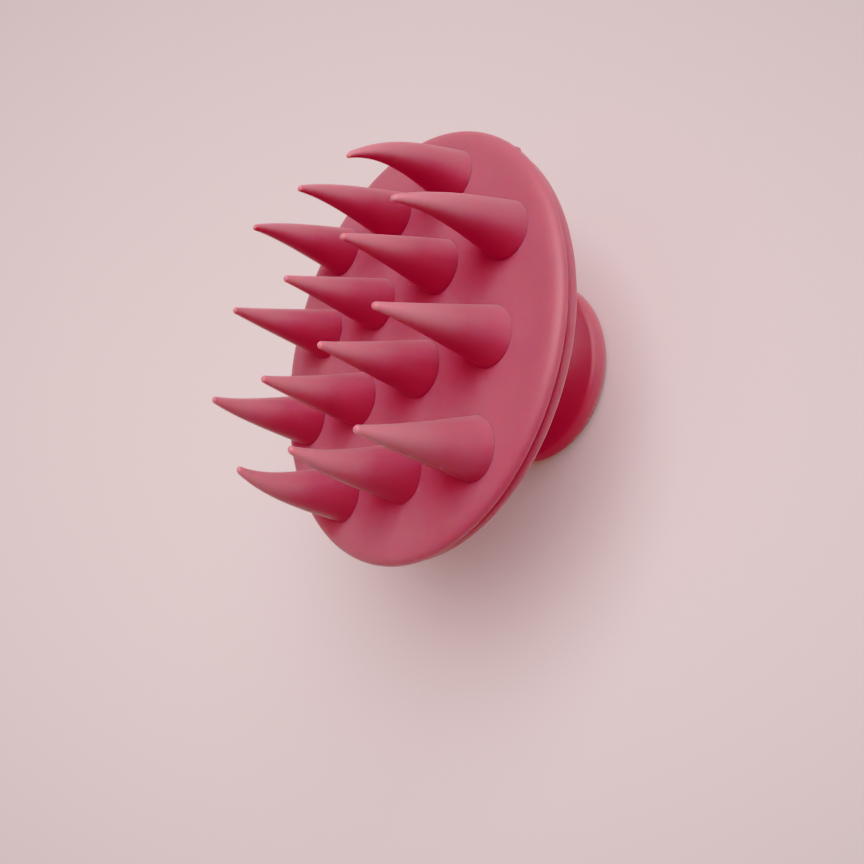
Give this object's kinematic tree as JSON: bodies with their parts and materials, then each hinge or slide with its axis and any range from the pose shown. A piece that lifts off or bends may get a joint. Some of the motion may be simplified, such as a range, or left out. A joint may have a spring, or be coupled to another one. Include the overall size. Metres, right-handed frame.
{
  "type": "scalp massager brush",
  "caption": "Palm-held scalp massager: a round head with flexible claw bristles on a soft pad, and a mushroom knob on its back.",
  "frame": {"origin": "centre of the knob's flat end, which the brush stands on", "axes": "+Z along the brush from the knob to the bristle tips; +X along the rows of bristles, in which the middle row has four"},
  "size_m": [0.0854, 0.0854, 0.0627],
  "materials": {
    "silicone": "matte soft silicone",
    "shell": "soft-touch matte",
    "core": "moulded satin",
    "steel": "plain"
  },
  "bodies": {
    "head": {"bristle_pad": "silicone", "core_plate": "core", "back_shell": "shell", "knob": "shell", "knob_cap": "shell", "plate_screw_1": "steel", "plate_screw_2": "steel", "plate_screw_3": "steel", "plate_screw_4": "steel", "knob_screw": "steel"},
    "bristle_01": {"bristle_01": "silicone"},
    "bristle_02": {"bristle_02": "silicone"},
    "bristle_03": {"bristle_03": "silicone"},
    "bristle_04": {"bristle_04": "silicone"},
    "bristle_05": {"bristle_05": "silicone"},
    "bristle_06": {"bristle_06": "silicone"},
    "bristle_07": {"bristle_07": "silicone"},
    "bristle_08": {"bristle_08": "silicone"},
    "bristle_09": {"bristle_09": "silicone"},
    "bristle_10": {"bristle_10": "silicone"},
    "bristle_11": {"bristle_11": "silicone"},
    "bristle_12": {"bristle_12": "silicone"},
    "bristle_13": {"bristle_13": "silicone"},
    "bristle_14": {"bristle_14": "silicone"}
  },
  "joints": [
    {"name": "bristle_01_bend", "type": "hinge", "parent": "head", "child": "bristle_01", "pos_m": [-0.01115, -0.0306, 0.0435], "axis": [0.9396, -0.3424, 0], "range_deg": [-20, 20], "stiffness_Nm_per_rad": 0.03},
    {"name": "bristle_02_bend", "type": "hinge", "parent": "head", "child": "bristle_02", "pos_m": [0.01115, -0.0306, 0.0435], "axis": [0.9396, 0.3424, 0], "range_deg": [-20, 20], "stiffness_Nm_per_rad": 0.03},
    {"name": "bristle_03_bend", "type": "hinge", "parent": "head", "child": "bristle_03", "pos_m": [-0.0223, -0.0153, 0.0435], "axis": [0.5657, -0.8246, 0], "range_deg": [-20, 20], "stiffness_Nm_per_rad": 0.03},
    {"name": "bristle_04_bend", "type": "hinge", "parent": "head", "child": "bristle_04", "pos_m": [0, -0.0161, 0.0435], "axis": [1, 0, 0], "range_deg": [-20, 20], "stiffness_Nm_per_rad": 0.03},
    {"name": "bristle_05_bend", "type": "hinge", "parent": "head", "child": "bristle_05", "pos_m": [0.0223, -0.0153, 0.0435], "axis": [0.5657, 0.8246, 0], "range_deg": [-20, 20], "stiffness_Nm_per_rad": 0.03},
    {"name": "bristle_06_bend", "type": "hinge", "parent": "head", "child": "bristle_06", "pos_m": [-0.03345, 0, 0.0435], "axis": [0, -1, 0], "range_deg": [-20, 20], "stiffness_Nm_per_rad": 0.03},
    {"name": "bristle_07_bend", "type": "hinge", "parent": "head", "child": "bristle_07", "pos_m": [-0.01115, 0, 0.0435], "axis": [0, -1, 0], "range_deg": [-20, 20], "stiffness_Nm_per_rad": 0.03},
    {"name": "bristle_08_bend", "type": "hinge", "parent": "head", "child": "bristle_08", "pos_m": [0.01115, 0, 0.0435], "axis": [0, 1, 0], "range_deg": [-20, 20], "stiffness_Nm_per_rad": 0.03},
    {"name": "bristle_09_bend", "type": "hinge", "parent": "head", "child": "bristle_09", "pos_m": [0.03345, 0, 0.0435], "axis": [0, 1, 0], "range_deg": [-20, 20], "stiffness_Nm_per_rad": 0.03},
    {"name": "bristle_10_bend", "type": "hinge", "parent": "head", "child": "bristle_10", "pos_m": [-0.0223, 0.0153, 0.0435], "axis": [-0.5657, -0.8246, 0], "range_deg": [-20, 20], "stiffness_Nm_per_rad": 0.03},
    {"name": "bristle_11_bend", "type": "hinge", "parent": "head", "child": "bristle_11", "pos_m": [0, 0.0161, 0.0435], "axis": [-1, 0, 0], "range_deg": [-20, 20], "stiffness_Nm_per_rad": 0.03},
    {"name": "bristle_12_bend", "type": "hinge", "parent": "head", "child": "bristle_12", "pos_m": [0.0223, 0.0153, 0.0435], "axis": [-0.5657, 0.8246, 0], "range_deg": [-20, 20], "stiffness_Nm_per_rad": 0.03},
    {"name": "bristle_13_bend", "type": "hinge", "parent": "head", "child": "bristle_13", "pos_m": [-0.01115, 0.0306, 0.0435], "axis": [-0.9396, -0.3424, 0], "range_deg": [-20, 20], "stiffness_Nm_per_rad": 0.03},
    {"name": "bristle_14_bend", "type": "hinge", "parent": "head", "child": "bristle_14", "pos_m": [0.01115, 0.0306, 0.0435], "axis": [-0.9396, 0.3424, 0], "range_deg": [-20, 20], "stiffness_Nm_per_rad": 0.03}
  ]
}
